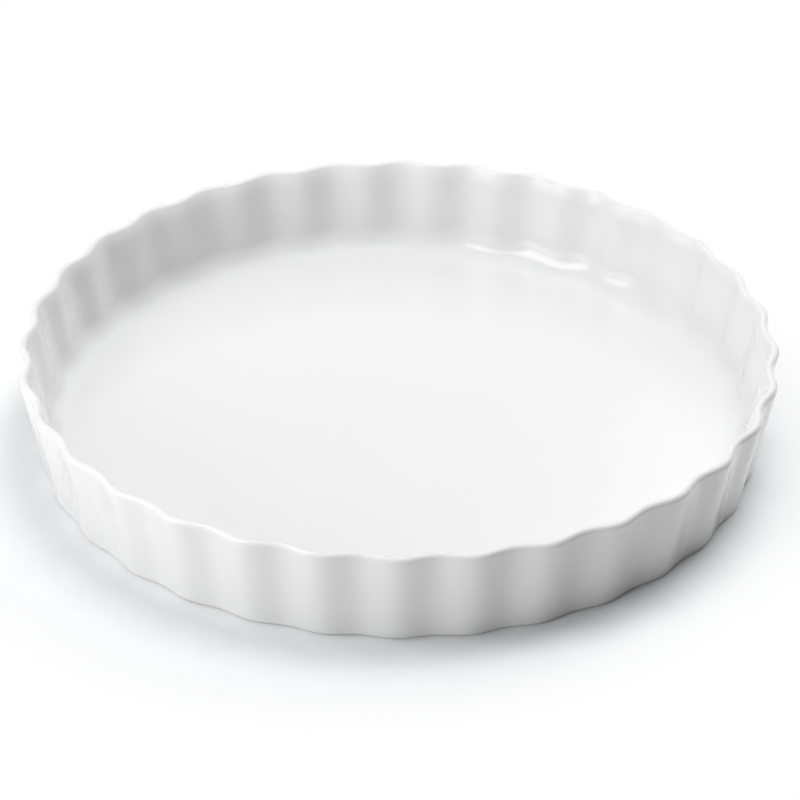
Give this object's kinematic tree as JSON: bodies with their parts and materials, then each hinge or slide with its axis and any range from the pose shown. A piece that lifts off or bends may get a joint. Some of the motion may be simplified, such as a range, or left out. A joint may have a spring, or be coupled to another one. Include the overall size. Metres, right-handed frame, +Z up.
{
  "type": "quiche dish",
  "caption": "Round fluted quiche dish with a straight rippled wall leaning outwards, a full rounded lip, a flat floor with a rounded inner corner and a shallow foot ring.",
  "frame": {"origin": "centre of the foot ring, on the surface that the dish stands on", "axes": "+Z up the dish's axis and out of its mouth, +X through the crest of one flute"},
  "size_m": [0.2918, 0.2918, 0.04],
  "materials": {
    "glazed_porcelain": "clear gloss glaze over white porcelain, with a bare ground foot ring"
  },
  "bodies": {
    "root": {"dish_body": "glazed_porcelain"}
  },
  "joints": []
}
